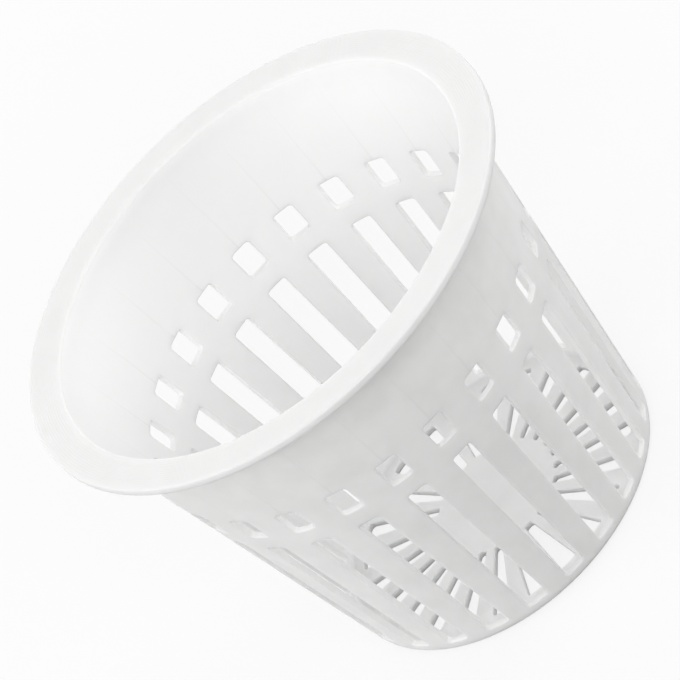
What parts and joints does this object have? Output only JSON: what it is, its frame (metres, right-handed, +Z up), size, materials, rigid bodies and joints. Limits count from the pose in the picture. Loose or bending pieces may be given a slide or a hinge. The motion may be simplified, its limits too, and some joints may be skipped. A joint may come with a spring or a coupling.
{
  "type": "hydroponic net pot",
  "caption": "Tapered translucent cup with a flat hanging lip, and slots through its wall and floor for roots and water.",
  "frame": {"origin": "centre of the underside of the floor", "axes": "+Z up along the cup's axis to its mouth; +X and +Y each through the middle of a column of slots"},
  "size_m": [0.086, 0.086, 0.0645],
  "materials": {
    "natural_polypropylene": "satin moulded natural polypropylene, milky and translucent"
  },
  "bodies": {
    "root": {"net_pot": "natural_polypropylene"}
  },
  "joints": []
}
